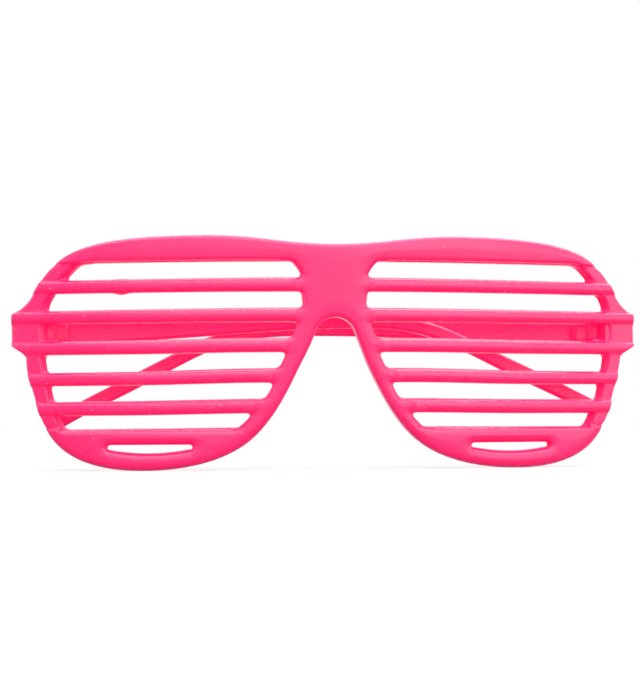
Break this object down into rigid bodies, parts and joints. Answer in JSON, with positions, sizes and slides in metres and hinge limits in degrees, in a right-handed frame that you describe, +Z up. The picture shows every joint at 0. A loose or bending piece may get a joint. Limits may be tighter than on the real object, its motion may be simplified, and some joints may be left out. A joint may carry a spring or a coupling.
{
  "type": "party glasses",
  "caption": "Slatted party glasses: a one-piece wrapped front with horizontal slats across two lens openings, and folding temples on screw hinges.",
  "frame": {"origin": "centre of the round crown of the nose arch, halfway through the front's thickness", "axes": "+X towards the wearer's left across the front, +Y back towards the wearer's ears, +Z up"},
  "size_m": [0.151, 0.0298, 0.055],
  "materials": {
    "neon_plastic": "neon pink, injection moulded, polished",
    "screw_steel": "turned, bright zinc plated"
  },
  "bodies": {
    "front": {"front_frame": "neon_plastic", "right_hinge_screw": "screw_steel", "left_hinge_screw": "screw_steel"},
    "right_temple": {"right_temple": "neon_plastic"},
    "left_temple": {"left_temple": "neon_plastic"}
  },
  "joints": [
    {"name": "right_temple_hinge", "type": "hinge", "parent": "front", "child": "right_temple", "pos_m": [-0.067, 0.016, 0.0025], "axis": [0, 0, 1], "range_deg": [0, 93]},
    {"name": "left_temple_hinge", "type": "hinge", "parent": "front", "child": "left_temple", "pos_m": [0.067, 0.016, 0.0025], "axis": [0, 0, -1], "range_deg": [0, 88]}
  ]
}
